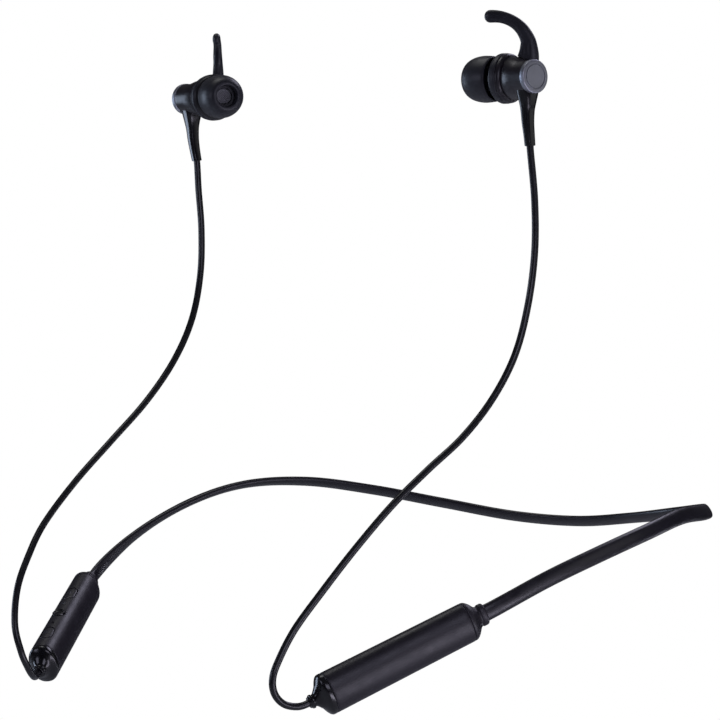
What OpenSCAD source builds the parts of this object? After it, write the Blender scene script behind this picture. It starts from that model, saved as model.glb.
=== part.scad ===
// Neckband earphones, drawn as they are worn.
// +Z is up, -Y is the wearer's front and +X is the wearer's left.
// The origin is where the middle of the band rests on the nape.

/* [Worn position] */
// Half the distance between the starting points of the two ear axes
ear_half_w = 62.6; // [60:0.2:65]
// How far the ear axis lies in front of the nape
ear_fwd = 99.2; // [97:0.2:101]
// Height of the ear axis above the nape
ear_h = 121.3; // [119:0.1:123]
// How far the ear tips turn towards the front, in degrees
ear_toe = 3; // [0:0.5:6]

/* [Ear piece] */
// Largest diameter of the silicone ear tip
tip_d = 12.5; // [11:0.1:13.5]
// Length of the ear tip in front of its widest ring
tip_front = 5.6; // [4.8:0.1:6]
// Length of the skirt behind the widest ring
tip_skirt = 3.0; // [2:0.1:4]
// Diameter of the sound nozzle that the ear tip grips
nozzle_d = 4.6; // [4:0.1:5]
// Outer diameter of the silicone ring that carries the wing
ring_d = 13.4; // [13.2:0.1:14.4]
// Diameter of the metal barrel
barrel_d = 8.6; // [8:0.1:9]
// Diameter of the flat end cap
cap_d = 8.9; // [8.7:0.1:9.4]
// Thickness of the flat end cap
cap_t = 1.5; // [1.2:0.1:2]
// Drop from the ear axis to the lower end of the stem
stem_drop = 18; // [16:0.5:21]

/* [Pods] */
// Length of each pod from its band collar to its cable nub
pod_len = 53; // [50:0.5:58]
// Height of the oval pod section
pod_h = 11.0; // [10.6:0.1:11.8]
// Width of the oval pod section
pod_w = 8.0; // [7.8:0.1:8.8]
// Wall thickness of the pod shells
pod_wall = 1.0; // [0.8:0.1:1.1]
// Outward roll of the pods, in degrees
pod_roll = 6; // [0:1:20]
// Travel of the push buttons
button_travel = 0.4; // [0.2:0.1:0.5]

/* [Band and cables] */
// Height of the flat-oval band section
band_h = 4.5; // [4:0.1:5]
// Thickness of the band section
band_t = 2.2; // [2:0.1:2.8]
// Diameter of the memory wire inside the band
wire_d = 0.9; // [0.6:0.1:1.1]
// Diameter of the thin cables to the ear pieces
cable_d = 1.9; // [1.6:0.1:2.2]

/* [Hidden] */
EAR_PARTS = ["ear_tip", "ear_wing", "front_housing", "nozzle_mesh", "driver", "rear_housing",
    "snap_magnet", "end_cap", "stem"];

gap = 0.05;          // running clearance, on the radius
part_gap = 0.2;      // clearance round a button or a flap
SMOOTH = 96;         // segments of the turned ear parts

soft_black = [0.11, 0.11, 0.13];
gloss_black = [0.08, 0.08, 0.10];
matt_black = [0.15, 0.15, 0.18];
satin_metal = [0.33, 0.35, 0.40];
bare_metal = [0.62, 0.62, 0.64];
board_green = [0.10, 0.30, 0.18];

/* ---------- vectors, splines and swept solids ---------- */

function unit(v) = v / norm(v);

// Catmull-Rom point on the list p, which has one extra point before and after the route
function spline_at(p, t) =
    let (i = max(0, min(floor(t), len(p) - 4)), f = t - i)
    let (a = p[i], b = p[i + 1], c = p[i + 2], d = p[i + 3])
    0.5 * (2 * b + (c - a) * f + (2 * a - 5 * b + 4 * c - d) * f * f
        + (3 * b - a - 3 * c + d) * f * f * f);

function xyz(p) = [p[0], p[1], p[2]];
function spline_tangent(p, t) =
    unit(xyz(spline_at(p, t + 0.001)) - xyz(spline_at(p, t - 0.001)));

// Adds the outer points that give a route its directions at both ends
function with_ends(route, start_dir, end_dir) =
    let (n = len(route))
    let (first = route[1] - 2 * start_dir, last = route[n - 2] + 2 * end_dir)
    concat([first], route, [last]);

// Closed solid through a list of rings of points, all with the same count
module ring_solid(rings) {
    n = len(rings[0]);
    m = len(rings);
    sides = [for (i = [0 : m - 2]) for (j = [0 : n - 1])
        let (k = (j + 1) % n, lo = i * n, hi = lo + n)
        each [[lo + j, hi + k, lo + k], [lo + j, hi + j, hi + k]]];
    ends = [[for (j = [0 : n - 1]) j], [for (j = [n - 1 : -1 : 0]) (m - 1) * n + j]];
    polyhedron([for (r = rings) each r], concat(sides, ends));
}

// Ellipse of n points about centre c, with half-axes a along u and b along v
function oval_ring(c, u, v, a, b, n) =
    [for (j = [0 : n - 1]) let (g = 360 * j / n) c + a * cos(g) * u + b * sin(g) * v];

/* ---------- pods: placing and section ---------- */

control_rear = [-88, -126.2, -18.4];
control_dir = unit([29, -36.5, -22.6]);
battery_rear = [84.6, -118.2, -18.5];
battery_dir = unit([-14.6, -46.5, -22]);

// Stations along a pod, measured from the end of its band collar
rear_seam = 5.4;
front_seam = pod_len - 6;
collar_t = 1.6;
nub_t = 1.3;
button_pitch = 11.3;
power_z = 28.7;
plus_z = power_z - button_pitch;
minus_z = power_z + button_pitch;
light_z = 23.2;
mic_z = 34.3;
usb_z = 15.5;

pod_power = 2.2;      // above 2 the oval section gets fuller corners

// Puts a pod, drawn along +Z with its top towards +Y, into place. It rolls towards the side
// that outer names: 1 for the wearer's left, -1 for the right.
module in_pod(rear, dir, outer) {
    level = unit(cross([0, 0, 1], dir));
    upright = cross(dir, level);
    top = cos(pod_roll) * upright + outer * sin(pod_roll) * level;
    out = cross(top, dir);
    multmatrix([[out[0], top[0], dir[0], rear[0]],
                [out[1], top[1], dir[1], rear[1]],
                [out[2], top[2], dir[2], rear[2]]]) children();
}

module in_control() { in_pod(control_rear, control_dir, -1) children(); }
module in_battery() { in_pod(battery_rear, battery_dir, 1) children(); }
// The port is on the pod's outer side
module in_port() { in_control() mirror([1, 0, 0]) children(); }

function spow(x, p) = sign(x) * pow(abs(x), p);
function pod_outline(a, b, n) =
    [for (j = [0 : n - 1]) let (g = 360 * j / n)
        [a * spow(cos(g), 2 / pod_power), b * spow(sin(g), 2 / pod_power)]];
function pod_ring(z, a, b, n) = [for (p = pod_outline(a, b, n)) [p[0], p[1], z]];

// Oval lofted through stations of [z, half width, half height]
module pod_loft(stations) {
    ring_solid([for (s = stations) pod_ring(s[0], s[1], s[2], 32)]);
}

module pod_bar(z0, z1, inset) {
    translate([0, 0, z0])
        linear_extrude(z1 - z0)
            polygon(pod_outline(pod_w / 2 - inset, pod_h / 2 - inset, 48));
}

// Cap that turns the full section into the small cable nub, z rising towards the nub
module front_cap() {
    a = pod_w / 2;
    b = pod_h / 2;
    neck = 1.5;
    flange = 1.85;
    z = front_seam;
    pod_loft([[z, a, b], [z + 1.2, a - 0.03, b - 0.05], [z + 1.8, a - 0.25, b - 0.4],
        [z + 2.3, a - 0.7, b - 1.1], [z + 2.9, 2.6, 3.4], [z + 3.6, 2.0, 2.4],
        [z + 4.2, 1.65, 1.75], [pod_len - nub_t, neck, neck]]);
    translate([0, 0, pod_len - nub_t]) cylinder(h = nub_t, r = flange, $fn = 48);
    spigot(z - 1.2, z);
}

// Cap on the band side, with a flanged collar round the band
module rear_cap() {
    a = pod_w / 2;
    b = pod_h / 2;
    z = rear_seam;
    pod_loft([[0, 1.95, 2.85], [collar_t * 0.2, 2.1, 3.0], [collar_t, 2.1, 3.0],
        [collar_t + 0.25, 1.9, 2.75], [z - 2.8, 2.2, 3.1], [z - 2, a - 0.9, b - 1.1],
        [z - 1, a - 0.25, b - 0.3], [z, a, b]]);
    spigot(z, z + 1.2);
}

// Plug that centres a cap in the end of its shell
module spigot(z0, z1) { pod_bar(z0, z1, pod_wall + gap); }

module pod_tube() {
    difference() {
        pod_bar(rear_seam, front_seam, 0);
        pod_bar(rear_seam - 1, front_seam + 1, pod_wall);
    }
}

/* ---------- control pod ---------- */

power_r = 1.8;
rocker_w = 3.4;
rocker_l = 6.0;
lip_y = pod_h / 2 - 1.9;        // underside of the buttons
board_y = 0.6;
board_t = 0.8;
switch_top = lip_y - button_travel - 0.05;
usb_w = 7.4;
usb_t = 2.6;
usb_drop = 0.7;                  // height of the port's middle below the pod's middle
cover_l = 10.6;
cover_w = 4.0;
cover_x = pod_w / 2 - 0.7;       // inner face of the flap
cover_hinge_z = usb_z + cover_l / 2;

// Upright bar through the pod's top, w across and l along the pod
module top_slot(z, w, l, y0, y1) {
    translate([0, y0, z]) rotate([-90, 0, 0])
        linear_extrude(y1 - y0) {
            for (s = [-1, 1]) translate([0, s * (l - w) / 2]) circle(d = w, $fn = 40);
            square([w, l - w + 0.01], center = true);
        }
}

module rocker(z) {
    intersection() {
        pod_bar(z - rocker_l, z + rocker_l, 0.02);
        top_slot(z, rocker_w, rocker_l, lip_y, pod_h);
    }
}

module mark_bar(z, w, l) {
    translate([-w / 2, pod_h / 2 - 0.15, z - l / 2]) cube([w, 0.3, l]);
}

module control_shell() {
    color(matt_black) in_control() difference() {
        pod_tube();
        top_slot(plus_z, rocker_w + 2 * part_gap, rocker_l + 2 * part_gap, 1, pod_h);
        top_slot(minus_z, rocker_w + 2 * part_gap, rocker_l + 2 * part_gap, 1, pod_h);
        translate([0, 1, power_z]) rotate([-90, 0, 0])
            cylinder(h = pod_h, r = power_r + part_gap, $fn = 48);
        translate([0, 1, mic_z]) rotate([-90, 0, 0]) cylinder(h = pod_h, r = 0.45, $fn = 32);
        translate([0, 1, light_z]) rotate([-90, 0, 0]) cylinder(h = pod_h, r = 0.6, $fn = 32);
        mirror([1, 0, 0]) usb_opening();
    }
}

// Port mouth, and the shallow seat that the flap closes into
module usb_opening() {
    room = 0.1;
    translate([0, -usb_drop - usb_t / 2 - room, usb_z - usb_w / 2 - room])
        cube([pod_w, usb_t + 2 * room, usb_w + 2 * room]);
    translate([cover_x - gap, -usb_drop - cover_w / 2 - part_gap, usb_z - cover_l / 2 - part_gap])
        cube([pod_w, cover_w + 2 * part_gap, cover_l + 2 * part_gap]);
}

module control_front_cap() { color(gloss_black) in_control() front_cap(); }
module control_rear_cap() { color(matt_black) in_control() rear_cap(); }

module button_plus() {
    color(soft_black) in_control() {
        rocker(plus_z);
        mark_bar(plus_z, 0.45, 1.9);
        mark_bar(plus_z, 1.5, 0.45);
    }
}

module button_minus() {
    color(soft_black) in_control() {
        rocker(minus_z);
        mark_bar(minus_z, 1.5, 0.45);
    }
}

// Round button with a raised rim and a dished top
module button_power() {
    rise = 0.35;
    top = pod_h / 2 + rise;
    color(gloss_black) in_control()
        translate([0, 0, power_z]) rotate([-90, 0, 0]) rotate_extrude($fn = 64)
            polygon([[0, lip_y], [power_r, lip_y], [power_r, top - 0.15], [power_r - 0.15, top],
                [power_r - 0.45, top], [power_r - 0.7, top - 0.25], [0, top - 0.35]]);
}

module control_board() {
    color(board_green) in_control()
        translate([-2.8, board_y, 8]) cube([5.6, board_t, 36]);
}

module button_switches() {
    body = switch_top - board_y - board_t - 0.4;
    color(bare_metal) in_control()
        for (z = [plus_z, power_z, minus_z]) {
            translate([-1.6, board_y + board_t, z - 1.6]) cube([3.2, body, 3.2]);
            translate([0, board_y + board_t + body, z]) rotate([-90, 0, 0])
                cylinder(h = 0.4, r = 0.8, $fn = 32);
        }
}

module radio_chip() {
    color([0.05, 0.05, 0.06]) in_control()
        translate([-2.5, board_y - 1.0, 25]) cube([5, 1.0, 6]);
}

module microphone() {
    color(bare_metal) in_control()
        translate([0, board_y + board_t, mic_z]) rotate([-90, 0, 0])
            cylinder(h = 2.2, r = 1.4, $fn = 48);
}

// Light pipe that fills its hole in the shell
module status_light() {
    foot = board_y + board_t;
    color([0.75, 0.8, 0.85]) in_control()
        translate([0, foot, light_z]) rotate([-90, 0, 0])
            cylinder(h = pod_h / 2 - foot - 0.05, r = 0.55, $fn = 32);
}

module usb_socket() {
    depth = 5;
    wall = 0.3;
    back = 1;
    mouth = cover_x - 0.8;
    color(bare_metal) in_port()
        translate([mouth - depth, -usb_drop - usb_t / 2, usb_z - usb_w / 2]) difference() {
            cube([depth, usb_t, usb_w]);
            translate([back, wall, wall]) cube([depth, usb_t - 2 * wall, usb_w - 2 * wall]);
        }
}

// Soft flap over the port, hinged at its front end, with a short plug
module usb_cover() {
    plug_w = 5.2;
    plug_t = 1.6;
    plug_l = 0.5;
    color(soft_black) in_port() {
        intersection() {
            pod_bar(usb_z - cover_l, usb_z + cover_l, 0.02);
            translate([cover_x, -usb_drop - cover_w / 2, usb_z - cover_l / 2])
                cube([pod_w, cover_w, cover_l]);
        }
        translate([cover_x - plug_l, -usb_drop - plug_t / 2, usb_z - plug_w / 2])
            cube([plug_l + 0.1, plug_t, plug_w]);
    }
}

/* ---------- battery pod ---------- */

cell_l = 32;
cell_z = 8;

module battery_shell() { color(matt_black) in_battery() pod_tube(); }
module battery_front_cap() { color(gloss_black) in_battery() front_cap(); }
module battery_rear_cap() { color(matt_black) in_battery() rear_cap(); }

// Pouch cell with rounded long edges
module battery_cell() {
    cell_w = 4.8;
    cell_h = 7.6;
    round_r = 2.0;
    color([0.75, 0.76, 0.78]) in_battery()
        translate([0, 0, cell_z]) linear_extrude(cell_l) {
            for (x = [-1, 1], y = [-1, 1])
                translate([x * (cell_w / 2 - round_r), y * (cell_h / 2 - round_r)])
                    circle(r = round_r, $fn = 40);
            square([cell_w, cell_h - 2 * round_r], center = true);
            square([cell_w - 2 * round_r, cell_h], center = true);
        }
}

module protection_board() {
    color(board_green) in_battery()
        translate([-2.1, -3, cell_z + cell_l + 0.6]) cube([4.2, 6, 0.8]);
}

// Foam strip that keeps the cell from rattling
module foam_pad() {
    color([0.2, 0.2, 0.2]) in_battery()
        translate([-2.85, -1.5, cell_z + 2]) cube([0.45, 3, cell_l - 4]);
}

/* ---------- neckband ---------- */

// Route of the band from the control pod round the nape to the battery pod.
// The fourth number is the lean of the band's tall side from level, in degrees.
band_route = [
    [-88, -126.2, -18.4, 88], [-91.3, -109.9, -7, 43], [-90.7, -91.1, 2.4, 14],
    [-87, -73.1, 7.8, 14], [-80, -55, 8.6, 24], [-69, -38, 6, 30], [-54, -23, 2.2, 33],
    [-36, -10.6, -1.3, 35], [-16.7, -2.2, -2.3, 34], [2.6, 2.2, -0.7, 31], [23.5, 1.7, 1.5, 40],
    [43.7, -6, 3.2, 54], [60.5, -21.9, 3.8, 66], [73.1, -40.9, 3.8, 78], [81.5, -60, 0.6, 85],
    [85.5, -80, -4.4, 88], [86.5, -99, -10.4, 90], [84.6, -118.2, -18.5, 90]];
band_end_pull = 17;    // strength of the directions that the pods give the band
band_path = with_ends(band_route,
    concat(-band_end_pull * control_dir, [-35]), concat(band_end_pull * battery_dir, [0]));
band_last = len(band_route) - 1;

// The band bends at these stations when its arms are spread
right_flex = [4.3, 6.1];
left_flex = [11.7, 13.3];

function band_section(t, a, b, n) =
    let (p = spline_at(band_path, t), dir = spline_tangent(band_path, t))
    let (level = unit(cross(dir, [0, 0, 1])), upright = cross(level, dir))
    let (tall = cos(p[3]) * level + sin(p[3]) * upright)
    oval_ring(xyz(p), tall, cross(dir, tall), a, b, n);

function band_stations(t0, t1) =
    let (steps = max(2, round((t1 - t0) * 3)))
    [for (i = [0 : steps]) t0 + (t1 - t0) * i / steps];

module band_sweep(stations, a, b, n) {
    ring_solid([for (t = stations) band_section(t, a, b, n)]);
}

// Jacket with a round channel for the memory wire
module band_jacket(t0, t1) {
    stations = band_stations(t0, t1);
    channel = concat([t0 - 0.05], stations, [t1 + 0.05]);
    color(matt_black) difference() {
        band_sweep(stations, band_h / 2, band_t / 2, 16);
        band_sweep(channel, wire_d / 2 + gap, wire_d / 2 + gap, 6);
    }
}

module memory_wire(t0, t1) {
    color(bare_metal) band_sweep(band_stations(t0, t1), wire_d / 2, wire_d / 2, 6);
}

module band_flex(ends) {
    color(matt_black)
        band_sweep(band_stations(ends[0], ends[1]), band_h / 2, band_t / 2, 16);
}

/* ---------- cables ---------- */

right_cable_route = [
    [-56.2, -165.9, -42.3], [-53.9, -168.4, -41.5], [-52.2, -171.1, -38.9],
    [-51.8, -173.4, -34.6], [-53.4, -174.4, -27.1], [-56.3, -171.7, -17.5],
    [-59.6, -166, -8.8], [-63, -158.5, 0], [-64.5, -147, 11.5], [-66, -134, 22.5],
    [-67.5, -121, 33.5], [-69.2, -110.2, 45], [-71.2, -102.4, 57], [-73.2, -98, 70],
    [-74.6, -96.6, 83], [-75.8, -96.8, 95]];
left_cable_route = [
    [69.3, -167.2, -41.1], [68.5, -170.9, -40.3], [68, -173.4, -37.7], [68, -174.1, -34],
    [68.2, -172.6, -29.6], [68.8, -167.7, -21.4], [69.9, -159.4, -11.6], [71, -150, -1.3],
    [72.2, -139, 9.6], [73, -128, 18.5], [73.7, -117, 26.8], [74.2, -107.5, 36.6],
    [74.8, -100.4, 48], [75.2, -96.3, 61], [75.6, -94.3, 75], [76.1, -94.7, 89]];
cable_gap = 0.05;      // gap to the stem, which can twist
cable_exit_pull = 2.5;
cable_stem_pull = 8;

function nub_end(rear, dir) = rear + pod_len * dir;

module cable(route, rear, dir, side) {
    stem_end = ear_point(stem_foot, side) - cable_gap * stem_up(side);
    points = concat([nub_end(rear, dir)], route, [stem_end]);
    path = with_ends(points, cable_exit_pull * dir, cable_stem_pull * stem_up(side));
    last = len(points) - 1;
    // short steps in the tight turn at the pod, long ones above it
    turn = 4;
    stations = concat([for (i = [0 : 2 * turn - 1]) i / 2],
        [for (i = [0 : 2 * (last - turn)]) turn + i / 2]);
    color(gloss_black) ring_solid([for (t = stations)
        let (tangent = spline_tangent(path, t), u = unit(cross(tangent, [1, 0, 0])))
        oval_ring(spline_at(path, t), u, cross(tangent, u), cable_d / 2, cable_d / 2, 8)]);
}

/* ---------- ear pieces ---------- */

// The tip, the nozzle and the drum stand on a head axis that is turned from the barrel's axis
head_turn = 12;
head_shift = [-1.2, 0.26, 0];
// Stations along the head axis, from the tip's widest ring (0) outwards
drum_front = 4.9;
drum_back = 7.2;
sleeve_end = 3.2;
// Stations along the ear axis, which is the barrel's
barrel_start = 11.5;
barrel_end = 16.7;
nozzle_front = -2.6;
nozzle_r = nozzle_d / 2;
bore_r = nozzle_r - 0.6;
housing_r = ring_d / 2 - 0.85;
stem_x = 14.7;
stem_foot = [14.2, 1.7, -stem_drop];

function turn_z(v, g) = [v[0] * cos(g) - v[1] * sin(g), v[0] * sin(g) + v[1] * cos(g), v[2]];
function sided(v, side) = [side * v[0], v[1], v[2]];
function ear_point(v, side) =
    sided(turn_z(v, ear_toe) + [ear_half_w, -ear_fwd, ear_h], side);
function stem_up(side) = sided(turn_z(unit([stem_x, 0, 0] - stem_foot), ear_toe), side);

// Draws an ear part, with +X outwards, on the left (side 1) or mirrored on the right (side -1)
module at_ear(side) {
    if (side > 0) left_ear() children();
    else mirror([1, 0, 0]) left_ear() children();
}
module left_ear() {
    translate([ear_half_w, -ear_fwd, ear_h]) rotate([0, 0, ear_toe]) children();
}
// Moves a part from the head axis to the ear axis
module in_head() {
    translate(head_shift) rotate([0, 0, head_turn]) children();
}
function head_point(v) = turn_z(v, head_turn) + head_shift;
// Turned part: profile points are [radius, distance outwards]
module turned(profile) {
    rotate([0, 90, 0]) rotate_extrude($fn = SMOOTH) polygon(profile);
}

module ear_tip(side) {
    r = tip_d / 2;
    mouth_r = 3.1;
    lip_r = 3.6;
    skin = 0.6;
    sleeve_r = nozzle_r + 0.8;
    dome = [for (g = [0 : 9 : 90])
        [lip_r + (r - lip_r) * cos(g), -tip_front * sin(g)]];
    hollow = [for (g = [0 : 15 : 75])
        [sleeve_r + (r - skin - sleeve_r) * cos(g), 0.8 - (tip_front - 2.0) * sin(g)]];
    color(soft_black) at_ear(side) in_head() turned(concat(
        [[r - 0.25, tip_skirt]], dome,
        [[mouth_r, 0.35 - tip_front], [mouth_r, nozzle_front - 0.4],
         [nozzle_r + gap, nozzle_front - 0.4], [nozzle_r + gap, sleeve_end],
         [sleeve_r, sleeve_end], [sleeve_r, 0.8 - (tip_front - 2.0)]],
        [for (i = [len(hollow) - 1 : -1 : 0]) hollow[i]],
        [[r - skin - 0.15, tip_skirt]]));
}

// Route of the wing from the ring up and over the ear tip: [x, y, z, half height, half thickness]
wing_route = [
    [8.6, 5.3, 3.4, 3.2, 1.7], [9.1, 5.7, 5.6, 2.9, 1.75], [9.2, 5.8, 8.1, 2.4, 1.6],
    [8.9, 5.6, 10.4, 2.0, 1.4], [7.6, 4.7, 13.1, 1.75, 1.25], [5.6, 3.4, 15.1, 1.6, 1.15],
    [3.2, 1.7, 16.3, 1.6, 1.1], [0.5, -0.1, 16.6, 1.7, 1.15]];
wing_side = unit([0.61, -0.79, 0]);      // the wing is thin in this direction

module ear_wing(side) {
    path = with_ends(wing_route, [0.5, 1.2, 2.2, 0, 0], [-2.7, -1.8, -0.1, 0, 0]);
    last = len(wing_route) - 1;
    body = [for (i = [0 : 2 * last]) wing_section(path, i / 2, 1, 0)];
    nose = [for (g = [25 : 25 : 75]) wing_section(path, last, cos(g), 1.6 * sin(g))];
    color(soft_black) at_ear(side) {
        difference() {
            union() {
                ring_solid(concat(body, nose));
                hull() for (s = wing_root) translate(s[0]) sphere(r = s[1], $fn = 24);
            }
            in_head() turned(wing_clearance);
        }
        in_head() turned([[housing_r + gap, drum_front + 0.15], [ring_d / 2 - 0.35, drum_front + 0.15],
            [ring_d / 2, drum_front + 0.6], [ring_d / 2, drum_back - 0.6],
            [ring_d / 2 - 0.25, drum_back - 0.15], [housing_r + gap, drum_back - 0.15]]);
    }
}
// Balls that the web between the ring and the foot of the wing is drawn round: [middle, radius]
wing_root = [[head_point([6.1, 4.9, 4.9]), 0.9], [head_point([6.1, 6.3, 2.6]), 0.9],
    [[8.9, 5.7, 4.8], 1.6], [[8.6, 5.5, 2.6], 1.5]];
// Turned space that the wing leaves for the housings, so that it can turn about the head axis
wing_clearance = [[0, 0], [ring_d / 2 - 0.2, 0], [ring_d / 2 - 0.2, drum_front + 0.15],
    [housing_r + gap, drum_front + 0.15], [housing_r + gap, drum_back - 0.15],
    [ring_d / 2, drum_back - 0.15], [ring_d / 2, drum_back + 1], [barrel_d / 2 + 1, barrel_start],
    [barrel_d / 2 + 0.3, barrel_start + 1], [barrel_d / 2 + 0.3, barrel_end], [0, barrel_end]];
function wing_section(path, t, shrink, ahead) =
    let (p = spline_at(path, t), dir = spline_tangent(path, t))
    let (tall = unit(cross(wing_side, dir)), flat = cross(dir, tall))
    oval_ring(xyz(p) + ahead * dir, tall, flat, p[3] * shrink, p[4] * shrink, 12);

// Nozzle and front cup, with a bezel in front of the wing's ring
module front_housing(side) {
    inner = housing_r - 0.8;
    color(matt_black) at_ear(side) in_head() turned([
        [bore_r, nozzle_front + 0.3], [nozzle_r, nozzle_front + 0.3], [nozzle_r, sleeve_end + 0.3],
        [nozzle_r + 0.6, sleeve_end + 0.7], [housing_r - 1, drum_front - 0.6], [ring_d / 2 - 0.4, drum_front],
        [housing_r, drum_front + 0.05], [housing_r, drum_back - 0.1], [inner, drum_back - 0.1],
        [inner, drum_front + 0.6], [bore_r + 0.5, drum_front - 0.2], [bore_r, drum_front - 0.8]]);
}

module nozzle_mesh(side) {
    color([0.35, 0.35, 0.38]) at_ear(side) in_head()
        turned([[0, nozzle_front], [nozzle_r - 0.1, nozzle_front],
            [nozzle_r - 0.1, nozzle_front + 0.3], [0, nozzle_front + 0.3]]);
}

module driver(side) {
    r = housing_r - 0.85;
    z = drum_front + 0.7;
    color(bare_metal) at_ear(side) in_head()
        turned([[0, z + 0.3], [r - 1.2, z], [r, z], [r, z + 0.9], [r - 1.0, z + 0.9],
            [r - 1.3, z + 1.7], [0, z + 1.7]]);
}

// Rim on the head axis, a bowl that narrows in a hollow curve, and the barrel on the ear axis
module rear_housing(side) {
    flange_r = ring_d / 2 - 0.1;
    barrel_r = barrel_d / 2;
    plug_r = housing_r - 0.85;
    drum_bore_r = housing_r - 1.8;
    duct_r = 1.5;
    magnet_bore_r = 3.5;
    foot = head_point([drum_back + 0.6, 0, 0]);
    rim = [for (p = [[plug_r, drum_back - 0.5], [plug_r, drum_back - 0.05],
            [flange_r - 0.15, drum_back - 0.05], [flange_r, drum_back + 0.15],
            [flange_r - 0.1, drum_back + 0.5]])
        let (c = head_point([p[1], 0, 0])) turned_ring(c[0], c[1], head_turn, p[0])];
    bowl = [for (g = [0 : 15 : 90])
        turned_ring(barrel_start - (barrel_start - foot[0]) * cos(g), foot[1] * (1 - sin(g)),
            head_turn * cos(g), barrel_r + (flange_r - 0.5 - barrel_r) * (1 - sin(g)))];
    color(gloss_black) at_ear(side) difference() {
        ring_solid(concat(rim, bowl, [turned_ring(barrel_end, 0, 0, barrel_r)]));
        in_head() along_ear(drum_back - 1, drum_back + 0.5, drum_bore_r);
        along_ear(drum_back - 1, barrel_start, duct_r);
        along_ear(9, barrel_end + 1, magnet_bore_r);
    }
}
// Circle of radius r about [x, y, 0], its plane turned about the upright
function turned_ring(x, y, turn, r) =
    oval_ring([x, y, 0], [-sin(turn), cos(turn), 0], [0, 0, 1], r, r, 64);
module along_ear(x0, x1, r) {
    translate([x0, 0, 0]) rotate([0, 90, 0]) cylinder(h = x1 - x0, r = r, $fn = SMOOTH);
}

module snap_magnet(side) {
    color(bare_metal) at_ear(side)
        turned([[0, 13.6], [3.3, 13.6], [3.3, 15.6], [0, 15.6]]);
}

// Flat metal cap with a fine ring groove
module end_cap(side) {
    r = cap_d / 2;
    groove_r = 3.1;
    z = barrel_end + cap_t;
    color(satin_metal) at_ear(side)
        turned([[0, z], [groove_r, z], [groove_r, z - 0.2], [groove_r + 0.25, z - 0.2],
            [groove_r + 0.25, z], [r - 0.2, z], [r, z - 0.2], [r, barrel_end + 0.15],
            [r - 0.15, barrel_end], [3.45, barrel_end], [3.45, barrel_end - 0.8],
            [0, barrel_end - 0.8]]);
}

// Tapered leg under the barrel, hollowed on top to saddle it
module stem(side) {
    sections = [
        [[stem_x, 0.3, -2.4], 2.3, 3.0], [[stem_x, 0.4, -4.6], 2.25, 2.5],
        [[stem_x, 0.45, -7], 1.85, 1.95], [[stem_x - 0.1, 0.5, -9], 1.55, 1.65],
        [[stem_x - 0.2, 0.7, -12], 1.35, 1.5], [stem_foot, 1.15, 1.3]];
    color(matt_black) at_ear(side) difference() {
        ring_solid([for (s = sections)
            let (up = unit([stem_x, 0, 0] - stem_foot))
            let (u = unit(cross([0, 1, 0], up)), v = cross(up, u))
            [for (p = stem_outline()) s[0] + s[1] * p[0] * u + s[2] * p[1] * v]]);
        rotate([0, 90, 0]) cylinder(h = 30, r = barrel_d / 2 + 0.01, $fn = SMOOTH);
        translate([barrel_end - 0.01, 0, 0]) rotate([0, 90, 0])
            cylinder(h = 5, r = cap_d / 2 + 0.01, $fn = SMOOTH);
    }
}
// Rounded square of half width 1
function stem_outline() =
    [for (j = [0 : 15]) let (g = 360 * j / 16)
        [spow(cos(g), 0.6), spow(sin(g), 0.6)]];

/* ---------- drawing ---------- */

band_jacket(right_flex[1], left_flex[0]);  // band_centre
band_flex(left_flex);  // band_left_flex
band_flex(right_flex);  // band_right_flex
band_jacket(left_flex[1], band_last);  // band_left_arm
band_jacket(0, right_flex[0]);  // band_right_arm
memory_wire(right_flex[1], left_flex[0]);  // wire_centre
memory_wire(left_flex[1], band_last);  // wire_left
memory_wire(0, right_flex[0]);  // wire_right
cable(left_cable_route, battery_rear, battery_dir, 1);  // left_cable
cable(right_cable_route, control_rear, control_dir, -1);  // right_cable
control_shell();
control_front_cap();
control_rear_cap();
button_plus();
button_power();
button_minus();
button_switches();
control_board();
radio_chip();
microphone();
status_light();
usb_socket();
usb_cover();
battery_shell();
battery_front_cap();
battery_rear_cap();
battery_cell();
protection_board();
foam_pad();
for (s = [["left_", 1], ["right_", -1]]) {
    ear_tip(s[1]);
    ear_wing(s[1]);
    front_housing(s[1]);
    nozzle_mesh(s[1]);
    driver(s[1]);
    rear_housing(s[1]);
    snap_magnet(s[1]);
    end_cap(s[1]);
    stem(s[1]);
}
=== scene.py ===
"""Neckband earphones: the looks. Lengths are in millimetres until a mesh is made, then in metres."""
import math

import bmesh
import bpy
import numpy as np
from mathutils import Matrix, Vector


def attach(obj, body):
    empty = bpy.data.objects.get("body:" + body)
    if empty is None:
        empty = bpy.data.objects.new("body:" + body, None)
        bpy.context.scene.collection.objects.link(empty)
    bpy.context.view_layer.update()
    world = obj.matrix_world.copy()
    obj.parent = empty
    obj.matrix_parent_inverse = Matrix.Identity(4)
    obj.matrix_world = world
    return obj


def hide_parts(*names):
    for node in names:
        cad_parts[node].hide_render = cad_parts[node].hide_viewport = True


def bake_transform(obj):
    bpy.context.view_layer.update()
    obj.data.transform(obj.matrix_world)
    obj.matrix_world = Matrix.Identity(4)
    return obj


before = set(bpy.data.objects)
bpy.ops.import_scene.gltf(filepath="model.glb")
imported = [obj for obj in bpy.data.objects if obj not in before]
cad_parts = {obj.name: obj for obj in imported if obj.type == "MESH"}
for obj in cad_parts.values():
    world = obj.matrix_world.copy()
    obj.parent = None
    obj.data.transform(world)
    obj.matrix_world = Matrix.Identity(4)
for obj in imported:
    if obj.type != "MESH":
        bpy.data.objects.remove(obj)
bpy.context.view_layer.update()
MM = 0.001


# ---------- vectors, splines and rings ----------

def vec(*v):
    return np.array(v, float)


def unit(v):
    v = np.asarray(v, float)
    return v / np.linalg.norm(v)


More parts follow.
